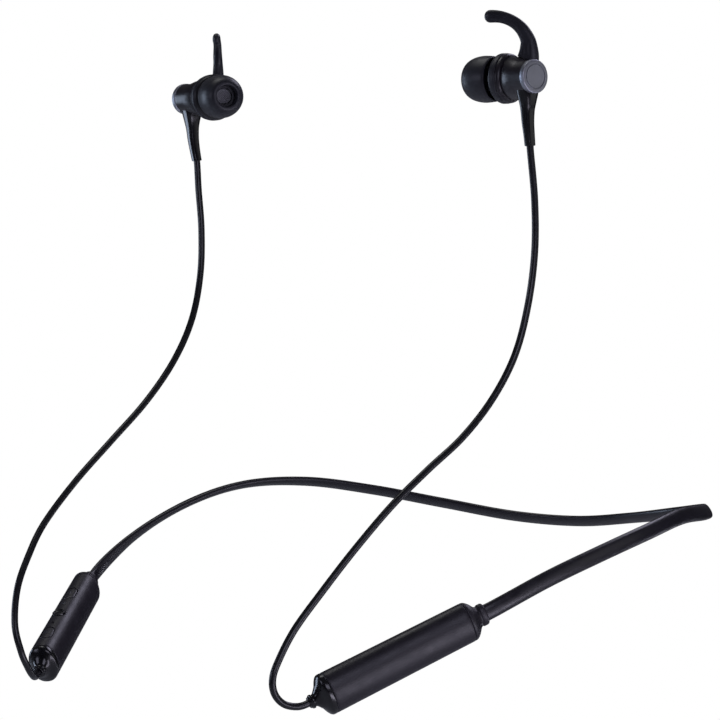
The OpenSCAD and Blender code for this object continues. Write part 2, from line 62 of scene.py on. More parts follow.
def spline_at(p, t):
    """Catmull-Rom point; p has one extra point before and after the route."""
    i = max(0, min(int(math.floor(t)), len(p) - 4))
    f = t - i
    a, b, c, d = p[i:i + 4]
    return 0.5 * (2 * b + (c - a) * f + (2 * a - 5 * b + 4 * c - d) * f ** 2
                  + (3 * b - a - 3 * c + d) * f ** 3)


def spline_tangent(p, t):
    return unit((spline_at(p, t + 0.001) - spline_at(p, t - 0.001))[:3])


def with_ends(route, start, end):
    route = [np.array(r, float) for r in route]
    return [route[1] - 2 * np.array(start, float)] + route + [route[-2] + 2 * np.array(end, float)]


def spow(x, p):
    return math.copysign(abs(x) ** p, x)


def oval(a, b, n, power=2.0):
    """Ring of n flat points, superellipse with half axes a and b."""
    return [(a * spow(math.cos(g), 2 / power), b * spow(math.sin(g), 2 / power))
            for g in (2 * math.pi * (j + 0.5) / n for j in range(n))]


# ---------- mesh making ----------

def add_piece(name, verts, faces, material, body, replaces=(), sharp=40):
    mesh = bpy.data.meshes.new(name)
    mesh.from_pydata([tuple(v) for v in np.asarray(verts, float) * MM], [], faces)
    mesh.validate()
    work = bmesh.new()
    work.from_mesh(mesh)
    bmesh.ops.recalc_face_normals(work, faces=work.faces)
    work.to_mesh(mesh)
    work.free()
    mesh.shade_smooth()
    if sharp:
        mesh.set_sharp_from_angle(angle=math.radians(sharp))
    mesh.materials.append(material)
    piece = bpy.data.objects.new(name, mesh)
    bpy.context.scene.collection.objects.link(piece)
    if body:
        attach(piece, body)
    if replaces:
        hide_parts(*replaces)
    return piece


def loft_faces(n, m, first=0, closed=True):
    """Quads between m rings of n points."""
    faces = []
    for i in range(m - 1):
        for j in range(n if closed else n - 1):
            k = (j + 1) % n
            lo, hi = first + i * n, first + (i + 1) * n
            faces.append((lo + j, lo + k, hi + k, hi + j))
    return faces


def loft(rings, cap_start=True, cap_end=True):
    """Vertices and faces of a solid through rings; an end is closed by a point at its middle."""
    n, m = len(rings[0]), len(rings)
    verts = [v for r in rings for v in r]
    faces = loft_faces(n, m)
    for on, first in ((cap_start, 0), (cap_end, (m - 1) * n)):
        if on:
            ring = rings[first // n]
            verts.append(np.mean(np.asarray(ring, float), axis=0))
            faces += [(first + j, first + (j + 1) % n, len(verts) - 1) for j in range(n)]
    return verts, faces


def lathe(profile, n=128):
    """Turned solid about the x axis: profile points are (radius, x). Radius 0 closes an end."""
    rings, verts, faces = [], [], []
    for r, x in profile:
        if r < 1e-6:
            rings.append([len(verts)])
            verts.append(vec(x, 0, 0))
        else:
            rings.append(list(range(len(verts), len(verts) + n)))
            verts += [vec(x, r * math.cos(2 * math.pi * j / n), r * math.sin(2 * math.pi * j / n))
                      for j in range(n)]
    pairs = list(zip(rings, rings[1:]))
    if len(rings[0]) > 1 and len(rings[-1]) > 1:
        pairs.append((rings[-1], rings[0]))
    for lo, hi in pairs:
        for j in range(n):
            k = (j + 1) % n
            if len(lo) > 1 and len(hi) > 1:
                faces.append((lo[j], lo[k], hi[k], hi[j]))
            elif len(lo) > 1:
                faces.append((lo[j], lo[k], hi[0]))
            elif len(hi) > 1:
                faces.append((lo[0], hi[k], hi[j]))
    return verts, faces


def combine(piece, solids, operation, sharp=35):
    """Boolean of a piece with closed solids, each given as (vertices, faces)."""
    material = piece.data.materials[0]
    for verts, faces in solids:
        tool = add_piece("tool", verts, faces, material, None, sharp=0)
        mod = piece.modifiers.new("combine", "BOOLEAN")
        mod.operation = operation
        mod.solver = "EXACT"
        mod.object = tool
        bpy.context.view_layer.update()
        depsgraph = bpy.context.evaluated_depsgraph_get()
        result = bpy.data.meshes.new_from_object(piece.evaluated_get(depsgraph))
        piece.modifiers.remove(mod)
        old, used = piece.data, tool.data
        piece.data = result
        bpy.data.objects.remove(tool)
        for mesh in (old, used):
            bpy.data.meshes.remove(mesh)
    piece.data.shade_smooth()
    piece.data.set_sharp_from_angle(angle=math.radians(sharp))
    return piece


def cut(piece, solids, sharp=35):
    return combine(piece, solids, "DIFFERENCE", sharp)


def join(piece, solids, sharp=35):
    return combine(piece, solids, "UNION", sharp)


# ---------- camera: the photograph's angle, on a long lens ----------

CAMERA_AZ, CAMERA_EL = 53.0, 0.8
CAMERA_AIM = Vector((0.0, -0.095, 0.046))
CAMERA_DISTANCE = 1.2


def make_camera():
    az, el = math.radians(CAMERA_AZ), math.radians(CAMERA_EL)
    back = Vector((math.sin(az) * math.cos(el), -math.cos(az) * math.cos(el), math.sin(el)))
    data = bpy.data.cameras.new("camera")
    data.lens = 216
    data.sensor_width = 36
    data.clip_start = 0.05
    data.clip_end = 50
    camera = bpy.data.objects.new("camera", data)
    bpy.context.scene.collection.objects.link(camera)
    camera.location = CAMERA_AIM + back * CAMERA_DISTANCE
    camera.rotation_euler = back.to_track_quat("Z", "Y").to_euler()
    bpy.context.scene.camera = camera


make_camera()


# ---------- materials ----------

def node(tree, kind, **inputs):
    n = tree.nodes.new(kind)
    for key, value in inputs.items():
        n.inputs[key.replace("_", " ")].default_value = value
    return n


def surface(name, base, rough, worn=None, grain=5000, grain_depth=0.00001, rough_spread=0.08,
            mottle=0.12, mottle_scale=220, wear=0.5, **shader_values):
    """Procedural material: mottled colour, varied roughness, fine grain in the bump, worn edges."""
    mat = bpy.data.materials.new(name)
    mat.use_nodes = True
    tree = mat.node_tree
    shader = tree.nodes["Principled BSDF"]
    for key, value in shader_values.items():
        shader.inputs[key.replace("_", " ")].default_value = value
    place = tree.nodes.new("ShaderNodeTexCoord")
    link = tree.links.new
    where = place.outputs["Object"]
    clouds = node(tree, "ShaderNodeTexNoise", Scale=mottle_scale, Detail=4.0, Roughness=0.6)
    fine = node(tree, "ShaderNodeTexNoise", Scale=grain, Detail=3.0, Roughness=0.55)
    link(where, clouds.inputs["Vector"])
    link(where, fine.inputs["Vector"])

    tone = tree.nodes.new("ShaderNodeValToRGB")
    tone.color_ramp.elements[0].position = 0.3
    tone.color_ramp.elements[1].position = 0.7
    tone.color_ramp.elements[0].color = (*[c * (1 - mottle) for c in base], 1)
    tone.color_ramp.elements[1].color = (*[min(1, c * (1 + mottle)) for c in base], 1)
    link(clouds.outputs["Fac"], tone.inputs["Fac"])

    edges = tree.nodes.new("ShaderNodeNewGeometry")
    edge_ramp = tree.nodes.new("ShaderNodeValToRGB")
    edge_ramp.color_ramp.elements[0].position = 0.53
    edge_ramp.color_ramp.elements[1].position = 0.62
    edge_ramp.color_ramp.elements[0].color = (0, 0, 0, 1)
    edge_ramp.color_ramp.elements[1].color = (wear, wear, wear, 1)
    link(edges.outputs["Pointiness"], edge_ramp.inputs["Fac"])
    broken = tree.nodes.new("ShaderNodeMath")
    broken.operation = "MULTIPLY"
    link(edge_ramp.outputs["Color"], broken.inputs[0])
    link(clouds.outputs["Fac"], broken.inputs[1])
    mix = tree.nodes.new("ShaderNodeMix")
    mix.data_type = "RGBA"
    mix.inputs["B"].default_value = (*(worn or [min(1, 2.2 * c + 0.01) for c in base]), 1)
    link(broken.outputs["Value"], mix.inputs["Factor"])
    link(tone.outputs["Color"], mix.inputs["A"])
    link(mix.outputs["Result"], shader.inputs["Base Color"])

    spread = tree.nodes.new("ShaderNodeMapRange")
    spread.inputs["From Min"].default_value = 0.25
    spread.inputs["From Max"].default_value = 0.75
    spread.inputs["To Min"].default_value = max(0.02, rough - rough_spread)
    spread.inputs["To Max"].default_value = min(1.0, rough + rough_spread)
    link(clouds.outputs["Fac"], spread.inputs["Value"])
    link(spread.outputs["Result"], shader.inputs["Roughness"])

    bump = tree.nodes.new("ShaderNodeBump")
    bump.inputs["Strength"].default_value = 1.0
    bump.inputs["Distance"].default_value = grain_depth
    link(fine.outputs["Fac"], bump.inputs["Height"])
    link(bump.outputs["Normal"], shader.inputs["Normal"])
    return mat


MATT = surface("pod_matt_black", (0.009, 0.007, 0.013), 0.43, grain=7000, grain_depth=0.000002)
GLOSS = surface("gloss_black", (0.004, 0.004, 0.006), 0.2, rough_spread=0.04, grain=1500,
                grain_depth=0.000001, wear=0.3)
BAND = surface("band_elastomer", (0.007, 0.006, 0.011), 0.36, grain=6000, grain_depth=0.000001)
CABLE = surface("cable_jacket", (0.004, 0.004, 0.007), 0.3, rough_spread=0.05, grain=2500,
                grain_depth=0.000001)
SILICONE = surface("soft_silicone", (0.008, 0.008, 0.015), 0.45, grain=9000, grain_depth=0.000002,
                   wear=0.2, Sheen_Weight=0.03, Sheen_Roughness=0.5)
SATIN = surface("satin_shell", (0.007, 0.007, 0.010), 0.33, rough_spread=0.05, grain=8000,
                grain_depth=0.000002)
SHELL = surface("ear_shell", (0.009, 0.007, 0.012), 0.34, rough_spread=0.04, grain=6000,
                grain_depth=0.000001, wear=0.3)
ANODISED = surface("anodised_metal", (0.30, 0.31, 0.35), 0.42, rough_spread=0.05, grain=9000,
                   grain_depth=0.000001, mottle=0.05, wear=0.4, Metallic=0.9)
MESH = surface("woven_mesh", (0.10, 0.10, 0.11), 0.45, grain=4000, grain_depth=0.000004,
               Metallic=0.6)
STEEL = surface("bare_steel", (0.55, 0.55, 0.56), 0.3, grain=3000, grain_depth=0.000004,
                mottle=0.08, Metallic=1.0)
NICKEL = surface("nickel_plate", (0.6, 0.58, 0.54), 0.25, grain=4000, grain_depth=0.000003,
                 mottle=0.06, Metallic=1.0)
BOARD = surface("solder_mask", (0.03, 0.14, 0.07), 0.35, mottle=0.25, mottle_scale=900)
CHIP = surface("moulded_chip", (0.02, 0.02, 0.02), 0.55, grain=9000)
FOIL = surface("pouch_foil", (0.6, 0.6, 0.62), 0.35, mottle=0.08, grain=900,
               grain_depth=0.00003, Metallic=0.8)
FOAM = surface("open_foam", (0.05, 0.05, 0.05), 0.9, grain=2500, grain_depth=0.0001)
LIGHT_PIPE = surface("light_pipe", (0.05, 0.055, 0.065), 0.3, mottle=0.05, wear=0.2)
MARK = surface("moulded_mark", (0.03, 0.032, 0.04), 0.35, grain=8000, grain_depth=0.000002)


# ---------- neckband ----------

CONTROL_REAR = vec(-88, -126.2, -18.4)
CONTROL_DIR = unit((29, -36.5, -22.6))
BATTERY_REAR = vec(84.6, -118.2, -18.5)
BATTERY_DIR = unit((-14.6, -46.5, -22))
BAND_ROUTE = [
    (-88, -126.2, -18.4, 88), (-91.3, -109.9, -7, 43), (-90.7, -91.1, 2.4, 14),
    (-87, -73.1, 7.8, 14), (-80, -55, 8.6, 24), (-69, -38, 6, 30), (-54, -23, 2.2, 33),
    (-36, -10.6, -1.3, 35), (-16.7, -2.2, -2.3, 34), (2.6, 2.2, -0.7, 31), (23.5, 1.7, 1.5, 40),
    (43.7, -6, 3.2, 54), (60.5, -21.9, 3.8, 66), (73.1, -40.9, 3.8, 78), (81.5, -60, 0.6, 85),
    (85.5, -80, -4.4, 88), (86.5, -99, -10.4, 90), (84.6, -118.2, -18.5, 90)]
BAND_PULL = 17
BAND_PATH = with_ends(BAND_ROUTE, (*(-BAND_PULL * CONTROL_DIR), -35), (*(BAND_PULL * BATTERY_DIR), 0))
BAND_H, BAND_T = 4.5, 2.2
NAPE_STATION = 9
BAND_STEPS = 10


def band_ring(t):
    p, direction = spline_at(BAND_PATH, t), spline_tangent(BAND_PATH, t)
    level = unit(np.cross(direction, (0, 0, 1)))
    upright = np.cross(level, direction)
    lean = math.radians(p[3])
    tall = math.cos(lean) * level + math.sin(lean) * upright
    flat = np.cross(direction, tall)
    return [p[:3] + a * tall + b * flat for a, b in oval(BAND_H / 2, BAND_T / 2, 40, 2.25)]


def make_band(name, t0, t1, nodes):
    steps = round((t1 - t0) * BAND_STEPS)
    verts, faces = loft([band_ring(t0 + (t1 - t0) * i / steps) for i in range(steps + 1)])
    piece = add_piece(name, verts, faces, BAND, None, nodes)
    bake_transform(piece)


make_band("band_right_half", 0, NAPE_STATION,
          ("band_right_arm", "band_right_flex", "band_centre"))
make_band("band_left_half", NAPE_STATION, len(BAND_ROUTE) - 1,
          ("band_left_arm", "band_left_flex", "band_centre"))


# ---------- cables ----------

RIGHT_CABLE = [
    (-56.2, -165.9, -42.3), (-53.9, -168.4, -41.5), (-52.2, -171.1, -38.9),
    (-51.8, -173.4, -34.6), (-53.4, -174.4, -27.1), (-56.3, -171.7, -17.5),
    (-59.6, -166, -8.8), (-63, -158.5, 0), (-64.5, -147, 11.5), (-66, -134, 22.5),
    (-67.5, -121, 33.5), (-69.2, -110.2, 45), (-71.2, -102.4, 57), (-73.2, -98, 70),
    (-74.6, -96.6, 83), (-75.8, -96.8, 95)]
LEFT_CABLE = [
    (69.3, -167.2, -41.1), (68.5, -170.9, -40.3), (68, -173.4, -37.7), (68, -174.1, -34),
    (68.2, -172.6, -29.6), (68.8, -167.7, -21.4), (69.9, -159.4, -11.6), (71, -150, -1.3),
    (72.2, -139, 9.6), (73, -128, 18.5), (73.7, -117, 26.8), (74.2, -107.5, 36.6),
    (74.8, -100.4, 48), (75.2, -96.3, 61), (75.6, -94.3, 75), (76.1, -94.7, 89)]
CABLE_D = 1.9
POD_LEN = 53.0
EAR = vec(62.6, -99.2, 121.3)
TOE = math.radians(3)
STEM_X = 14.7
STEM_FOOT = vec(14.2, 1.7, -18)


def turned_out(v):
    c, s = math.cos(TOE), math.sin(TOE)
    return vec(v[0] * c - v[1] * s, v[0] * s + v[1] * c, v[2])


def sided(v, side):
    return vec(side * v[0], v[1], v[2])


def ear_point(v, side):
    return sided(turned_out(v) + EAR, side)


STEM_UP = unit(vec(STEM_X, 0, 0) - STEM_FOOT)


def make_cable(name, route, rear, direction, side, arm):
    up = sided(turned_out(STEM_UP), side)
    points = [rear + POD_LEN * direction] + route + [ear_point(STEM_FOOT, side) - 0.05 * up]
    path = with_ends(points, 2.5 * direction, 8 * up)
    last = len(points) - 1
    turn = 4
    stations = [i / 8 for i in range(8 * turn)] + [turn + i / 12 for i in range(12 * (last - turn) + 1)]
    rings, centres = [], []
    for t in stations:
        tangent = spline_tangent(path, t)
        u = unit(np.cross(tangent, (1, 0, 0)))
        v = np.cross(tangent, u)
        centre = spline_at(path, t)
        centres.append(tuple(centre * MM))
        rings.append([centre + a * u + b * v for a, b in oval(CABLE_D / 2, CABLE_D / 2, 28)])
    verts, faces = loft(rings)
    piece = add_piece(name + "_lead", verts, faces, CABLE, arm, (name + "_cable",))


make_cable("right", RIGHT_CABLE, CONTROL_REAR, CONTROL_DIR, -1, "right_arm")
make_cable("left", LEFT_CABLE, BATTERY_REAR, BATTERY_DIR, 1, "left_arm")


# ---------- pods ----------

POD_W, POD_H = 8.0, 11.0
POD_ROLL = math.radians(6)
POD_POWER = 2.2
POD_POINTS = 128
POD_MIDDLE = 27.0
WIDTH_TAPER, HEIGHT_TAPER = 0.0022, 0.0012
REAR_SEAM, FRONT_SEAM = 5.4, 47.0
WALL = 1.0
PLUS_Z, POWER_Z, MINUS_Z = 17.4, 28.7, 40.0
LIGHT_Z, MIC_Z, PORT_Z = 23.2, 34.3, 15.5
KEY_W, KEY_L = 3.4, 6.0
POWER_R = 1.8
LIP_Y = POD_H / 2 - 1.9
PORT_Y = -0.7
FLAP_W, FLAP_L, FLAP_T = 4.0, 10.6, 0.7
GAP = 0.2


def pod_frame(rear, direction, outer):
    """Origin and axes of a pod: x across, y towards its top, z towards its cable."""
    level = unit(np.cross((0, 0, 1), direction))
    upright = np.cross(direction, level)
    top = math.cos(POD_ROLL) * upright + outer * math.sin(POD_ROLL) * level
    return rear, np.array([np.cross(top, direction), top, direction]).T


CONTROL = pod_frame(CONTROL_REAR, CONTROL_DIR, -1)
BATTERY = pod_frame(BATTERY_REAR, BATTERY_DIR, 1)


def in_pod(pod, points):
    return [pod[0] + pod[1] @ np.asarray(p, float) for p in points]


def half_w(z):
    return POD_W / 2 * (1 + WIDTH_TAPER * (z - POD_MIDDLE))


def half_h(z):
    return POD_H / 2 * (1 + HEIGHT_TAPER * (z - POD_MIDDLE))


def pod_ring(z, inset=0.0):
    return [(x, y, z) for x, y in oval(half_w(z) - inset, half_h(z) - inset, POD_POINTS, POD_POWER)]


def oval_ring(z, a, b):
    return [(x, y, z) for x, y in oval(a, b, POD_POINTS, POD_POWER)]


def top_height(u, z):
    """Height of the pod's top surface over the point u across and z along."""
    return half_h(z) * (1 - abs(u / half_w(z)) ** POD_POWER) ** (1 / POD_POWER)


def side_height(u, z):
    return half_w(z) * (1 - abs(u / half_h(z)) ** POD_POWER) ** (1 / POD_POWER)


def on_top(u, h, z):
    return u, h, z


def on_outer_side(u, h, z):
    return -h, u, z


def stadium(w, l, n=56):
    """Round-ended outline, w across and l long."""
    return [(w / 2 * math.cos(g), w / 2 * math.sin(g) + math.copysign((l - w) / 2, math.sin(g)))
            for g in (2 * math.pi * (j + 0.5) / n for j in range(n))]


def make_shell(name, pod, node, body):
    """Open tube with a fine bevel at both seams."""
    bevel = [(0.0, 0.16), (0.1, 0.05), (0.25, 0.0)]
    length = FRONT_SEAM - REAR_SEAM
    steps = round(length)
    rings = [pod_ring(REAR_SEAM + d, inset) for d, inset in bevel]
    rings += [pod_ring(REAR_SEAM + length * i / steps) for i in range(1, steps)]
    rings += [pod_ring(FRONT_SEAM - d, inset) for d, inset in reversed(bevel)]
    rings += [pod_ring(FRONT_SEAM - length * i / steps, WALL) for i in range(steps + 1)]
    n, m = POD_POINTS, len(rings)
    verts = [v for r in rings for v in in_pod(pod, r)]
    faces = loft_faces(n, m)
    faces += [((m - 1) * n + j, (m - 1) * n + (j + 1) % n, (j + 1) % n, j) for j in range(n)]
    return add_piece(name, verts, faces, MATT, body, (node,), sharp=30)


def prism(pod, place, outline, h0, h1):
    """Closed solid from an outline of (across, along) points, between two heights."""
    return loft([in_pod(pod, [place(u, h, z) for u, z in outline]) for h in (h0, h1)])


def moved(outline, du, dz):
    return [(u + du, z + dz) for u, z in outline]


def raised(pod, place, height, outline_at, steps, floor):
    """Solid on the pod's surface. steps are (inset, rise above the surface) from edge to middle."""
    rings = [[place(u, floor, z) for u, z in outline_at(0)]]
    rings += [[place(u, height(u, z) + rise, z) for u, z in outline_at(inset)]
              for inset, rise in steps]
    return loft([in_pod(pod, r) for r in rings])


KEY_STEPS = [(0, -0.3), (0.03, -0.14), (0.1, -0.05), (0.2, 0.0), (0.45, 0.04), (0.8, 0.06),
             (1.2, 0.07), (1.55, 0.07)]
MARK_STEPS = [(0, 0.08), (0.03, 0.12), (0.08, 0.15), (0.14, 0.16)]


def make_key(name, z, node, body, marks):
    verts, faces = raised(CONTROL, on_top, top_height,
                          lambda d: moved(stadium(KEY_W - 2 * d, KEY_L - 2 * d), 0, z), KEY_STEPS, LIP_Y)
    add_piece(name + "_key_cap", verts, faces, MATT, body, (node,))
    for label, lengthwise, size in marks:
        def outline(d):
            bar = stadium(0.42 - 2 * d, size - 2 * d, 24)
            return moved(bar if lengthwise else [(v, u) for u, v in bar], 0, z)
        verts, faces = raised(CONTROL, on_top, top_height, outline, MARK_STEPS, POD_H / 2 - 0.4)
        add_piece(name + label, verts, faces, MARK, body)


def make_power_key():
    top = half_h(POWER_Z) + 0.28
    profile = [(0, LIP_Y), (POWER_R - 0.08, LIP_Y), (POWER_R, LIP_Y + 0.1), (POWER_R, top - 0.2),
               (1.77, top - 0.09), (1.69, top - 0.02), (1.57, top), (1.45, top - 0.02),
               (1.34, top - 0.1), (1.2, top - 0.24), (1.02, top - 0.3), (0.6, top - 0.28),
               (0, top - 0.24)]
    verts, faces = lathe(profile, 72)
    local = [(v[1], v[0], v[2] + POWER_Z) for v in verts]
    add_piece("power_key_cap", in_pod(CONTROL, local), faces, GLOSS, "power_key", ("button_power",),
              sharp=50)


def make_light():
    top = half_h(LIGHT_Z)
    profile = [(0, 1.5), (0.52, 1.5), (0.55, 1.6), (0.55, top - 0.1), (0.5, top - 0.03),
               (0.35, top + 0.02), (0, top + 0.05)]
    verts, faces = lathe(profile, 48)
    local = [(v[1], v[0], v[2] + LIGHT_Z) for v in verts]
    add_piece("status_lens", in_pod(CONTROL, local), faces, LIGHT_PIPE, "right_arm",
              ("status_light",))


def make_flap():
    steps = [(0, -0.3), (0.05, -0.12), (0.15, -0.04), (0.3, 0.0), (0.8, 0.02), (1.4, 0.03), (1.85, 0.03)]
    outline = lambda d: moved(stadium(FLAP_W - 2 * d, FLAP_L - 2 * d), PORT_Y, PORT_Z)
    verts, faces = raised(CONTROL, on_outer_side, side_height, outline, steps,
                          POD_W / 2 - FLAP_T)
    flap = add_piece("port_flap_skin", verts, faces, SILICONE, "port_flap", ("usb_cover",))
    plug = moved(stadium(1.6, 5.2), PORT_Y, PORT_Z)
    join(flap, [prism(CONTROL, on_outer_side, plug, POD_W / 2 - FLAP_T - 0.5, POD_W / 2 - 0.4)])
    nail = moved([(v, u) for u, v in stadium(0.8, 2.2, 32)], PORT_Y, PORT_Z - FLAP_L / 2 + 0.9)
    cut(flap, [prism(CONTROL, on_outer_side, nail, POD_W / 2 - 0.35, POD_W)])


def smooth_stations(stations, steps=6):
    """Catmull-Rom curve through stations of [z, half width, half height]."""
    s = [np.array(x, float) for x in stations]
    path = [2 * s[0] - s[1]] + s + [2 * s[-1] - s[-2]]
    return [spline_at(path, i / steps) for i in range(steps * (len(s) - 1) + 1)]


def make_front_cap(name, pod, node, body):
    z = FRONT_SEAM
    a, b = half_w(z), half_h(z)
    plug = WALL + 0.05
    neck = 51.7
    outer = smooth_stations([
        [z + 0.25, a, b], [z + 0.8, a, b], [z + 1.25, a - 0.06, b - 0.08], [z + 1.7, a - 0.3, b - 0.42],
        [z + 2.2, a - 0.85, b - 1.15], [z + 2.8, 2.6, 3.35], [z + 3.5, 2.05, 2.45],
        [z + 4.1, 1.68, 1.8], [neck, 1.5, 1.5]])
    flange = 1.85
    collar = [(neck + 0.02, flange - 0.12), (neck + 0.12, flange), (neck + 0.62, flange),
              (neck + 0.74, flange - 0.12), (neck + 0.78, flange - 0.3), (neck + 1.15, flange - 0.36),
              (neck + 1.28, flange - 0.5), (neck + 1.3, flange - 0.7)]
    rings = [oval_ring(z - 1.2, a - plug, b - plug), oval_ring(z, a - plug, b - plug),
             oval_ring(z, a - 0.16, b - 0.16), oval_ring(z + 0.1, a - 0.05, b - 0.05)]
    rings += [oval_ring(*s) for s in outer]
    rings += [oval_ring(zz, r, r) for zz, r in collar]
    verts, faces = loft([in_pod(pod, r) for r in rings])
    add_piece(name, verts, faces, GLOSS, body, (node,), sharp=50)


def make_rear_cap(name, pod, node, body):
    z = REAR_SEAM
    a, b = half_w(z), half_h(z)
    plug = WALL + 0.05
    outer = smooth_stations([
        [z - 0.25, a - 0.01, b - 0.01], [z - 0.8, a - 0.12, b - 0.15], [z - 1.4, a - 0.45, b - 0.55],
        [z - 2.1, a - 1.05, b - 1.25], [z - 2.8, 2.25, 3.15], [z - 3.3, 1.95, 2.8], [1.85, 1.9, 2.75]])
    collar = [(1.75, 1.93, 2.8), (1.6, 2.02, 2.92), (1.45, 2.1, 3.0), (0.5, 2.1, 3.0),
              (0.3, 2.04, 2.94), (0.12, 1.95, 2.85), (0.0, 1.8, 2.7), (0.0, 1.25, 2.35)]
    rings = [oval_ring(z + 1.2, a - plug, b - plug), oval_ring(z, a - plug, b - plug),
             oval_ring(z, a - 0.16, b - 0.16), oval_ring(z - 0.1, a - 0.05, b - 0.05)]
    rings += [oval_ring(*s) for s in outer] + [oval_ring(*c) for c in collar]
    verts, faces = loft([in_pod(pod, r) for r in rings])
    add_piece(name, verts, faces, MATT, body, (node,), sharp=50)


def make_control_shell():
    shell = make_shell("control_case", CONTROL, "control_shell", "right_arm")
    slots = [moved(stadium(KEY_W + 2 * GAP, KEY_L + 2 * GAP), 0, z) for z in (PLUS_Z, MINUS_Z)]
    for r, z in ((POWER_R + GAP, POWER_Z), (0.6, LIGHT_Z), (0.4, MIC_Z)):
        slots.append(moved(stadium(2 * r, 2 * r), 0, z))
    cutters = [prism(CONTROL, on_top, s, 1.0, POD_H) for s in slots]
    mouth = moved(stadium(2.8, 7.6), PORT_Y, PORT_Z)
    seat = moved(stadium(FLAP_W + 2 * GAP, FLAP_L + 2 * GAP), PORT_Y, PORT_Z)
    cutters.append(prism(CONTROL, on_outer_side, mouth, 0.5, POD_W))
    cutters.append(prism(CONTROL, on_outer_side, seat, POD_W / 2 - FLAP_T - 0.05, POD_W))
    cut(shell, cutters)


make_control_shell()
make_shell("battery_case", BATTERY, "battery_shell", "left_arm")
for label, pod, arm in (("control", CONTROL, "right_arm"), ("battery", BATTERY, "left_arm")):
    make_front_cap(label + "_nose", pod, label + "_front_cap", arm)
    make_rear_cap(label + "_tail", pod, label + "_rear_cap", arm)
make_key("plus", PLUS_Z, "button_plus", "plus_key", [("_mark_long", True, 1.8), ("_mark_cross", False, 1.5)])
make_key("minus", MINUS_Z, "button_minus", "minus_key", [("_mark_bar", False, 1.5)])
make_power_key()
make_light()
make_flap()


# ---------- ear pieces ----------

TIP_D, TIP_FRONT, TIP_SKIRT = 12.5, 5.6, 3.0
NOZZLE_R, BORE_R = 2.3, 1.7
RING_R, HOUSING_R = 6.7, 5.85
BARREL_R, CAP_R, CAP_T = 4.3, 4.45, 1.5
DRUM_FRONT, DRUM_BACK = 4.9, 7.2
BARREL_START, BARREL_END = 11.5, 16.7
NOZZLE_FRONT = -2.6
SLEEVE_END = 3.2
HEAD_TURN = math.radians(12)
HEAD_SHIFT = vec(-1.2, 0.26, 0)


def head_point(v):
    """From the head axis, which the tip and the drum share, to the ear axis of the barrel."""
    c, s = math.cos(HEAD_TURN), math.sin(HEAD_TURN)
    return vec(v[0] * c - v[1] * s, v[0] * s + v[1] * c, v[2]) + HEAD_SHIFT


def in_head(verts):
    return [head_point(v) for v in verts]


def add_ear_piece(label, side, name, part, body, verts, faces, material, slot, sharp=40):
    return add_piece(f"{label}_{name}", [ear_point(v, side) for v in verts], faces, material,
                     f"{label}_{body}", (f"{label}_{part}",), sharp)


def tip_profile():
    r, lip, mouth, sleeve, skin = TIP_D / 2, 3.6, 3.1, NOZZLE_R + 0.8, 0.6
    skirt = [(r - 0.68, TIP_SKIRT - 0.1), (r - 0.6, TIP_SKIRT), (r - 0.36, TIP_SKIRT),
             (r - 0.25, TIP_SKIRT - 0.12), (r - 0.14, 2.1), (r - 0.05, 1.1)]
    dome = [(lip + (r - lip) * math.cos(math.radians(g)), -TIP_FRONT * math.sin(math.radians(g)))
            for g in range(0, 88, 3)]
    rim = [(lip - 0.1, -TIP_FRONT), (lip - 0.3, -TIP_FRONT + 0.03), (mouth + 0.08, -TIP_FRONT + 0.14),
           (mouth, -TIP_FRONT + 0.32)]
    bore = [(mouth, NOZZLE_FRONT - 0.5), (mouth - 0.1, NOZZLE_FRONT - 0.4),
            (NOZZLE_R + 0.05, NOZZLE_FRONT - 0.4), (NOZZLE_R + 0.05, SLEEVE_END), (sleeve, SLEEVE_END)]
    hollow = [(sleeve + (r - skin - sleeve) * math.cos(math.radians(g)),
               0.8 - (TIP_FRONT - 2.0) * math.sin(math.radians(g))) for g in range(84, -1, -6)]
    return skirt + dome + rim + bore + hollow


def turned_ring(x, y, turn, r, n=128):
    """Circle of radius r about (x, y, 0) on the ear axis, its plane turned about the upright."""
    across = vec(-math.sin(turn), math.cos(turn), 0)
    return [vec(x, y, 0) + r * math.cos(g) * across + vec(0, 0, r * math.sin(g))
            for g in (2 * math.pi * j / n for j in range(n))]


def head_ring(r, x):
    middle = head_point(vec(x, 0, 0))
    return turned_ring(middle[0], middle[1], HEAD_TURN, r)


BOWL_START, BOWL_END, BOWL_FULL = DRUM_BACK + 1.3, BARREL_START + 1.6, 1.5
BOWL_STEPS = 18
WING_GAP = 0.25


def bowl_radius(u):
    """Radius of the full, rounded bowl at the fraction u of its length."""
    return BARREL_R + (RING_R - 0.95 - BARREL_R) * (1 - u ** BOWL_FULL)


def rear_housing():
    """Rounded rim on the head axis, a full curved bowl, then the barrel on the ear axis."""
    flange = RING_R - 0.1
    rim = [(HOUSING_R - 1.8, DRUM_BACK - 0.5), (HOUSING_R - 0.85, DRUM_BACK - 0.5),
           (HOUSING_R - 0.85, DRUM_BACK - 0.05), (flange - 0.4, DRUM_BACK - 0.05),
           (flange - 0.12, DRUM_BACK), (flange, DRUM_BACK + 0.14), (flange - 0.02, DRUM_BACK + 0.35),
           (flange - 0.08, DRUM_BACK + 0.6), (flange - 0.2, DRUM_BACK + 0.85),
           (flange - 0.38, DRUM_BACK + 1.07), (flange - 0.6, DRUM_BACK + 1.22)]
    foot = head_point(vec(BOWL_START, 0, 0))
    rings = [head_ring(*p) for p in rim]
    for i in range(BOWL_STEPS + 1):
        u = i / BOWL_STEPS
        rings.append(turned_ring(foot[0] + (BOWL_END - foot[0]) * u, foot[1] * (1 - u),
                                 HEAD_TURN * (1 - u), bowl_radius(u)))
    for r, x in ((BARREL_R, BARREL_END - 0.08), (BARREL_R - 0.08, BARREL_END), (3.5, BARREL_END), (3.5, 9)):
        rings.append(turned_ring(x, 0, 0, r))
    return loft(rings)


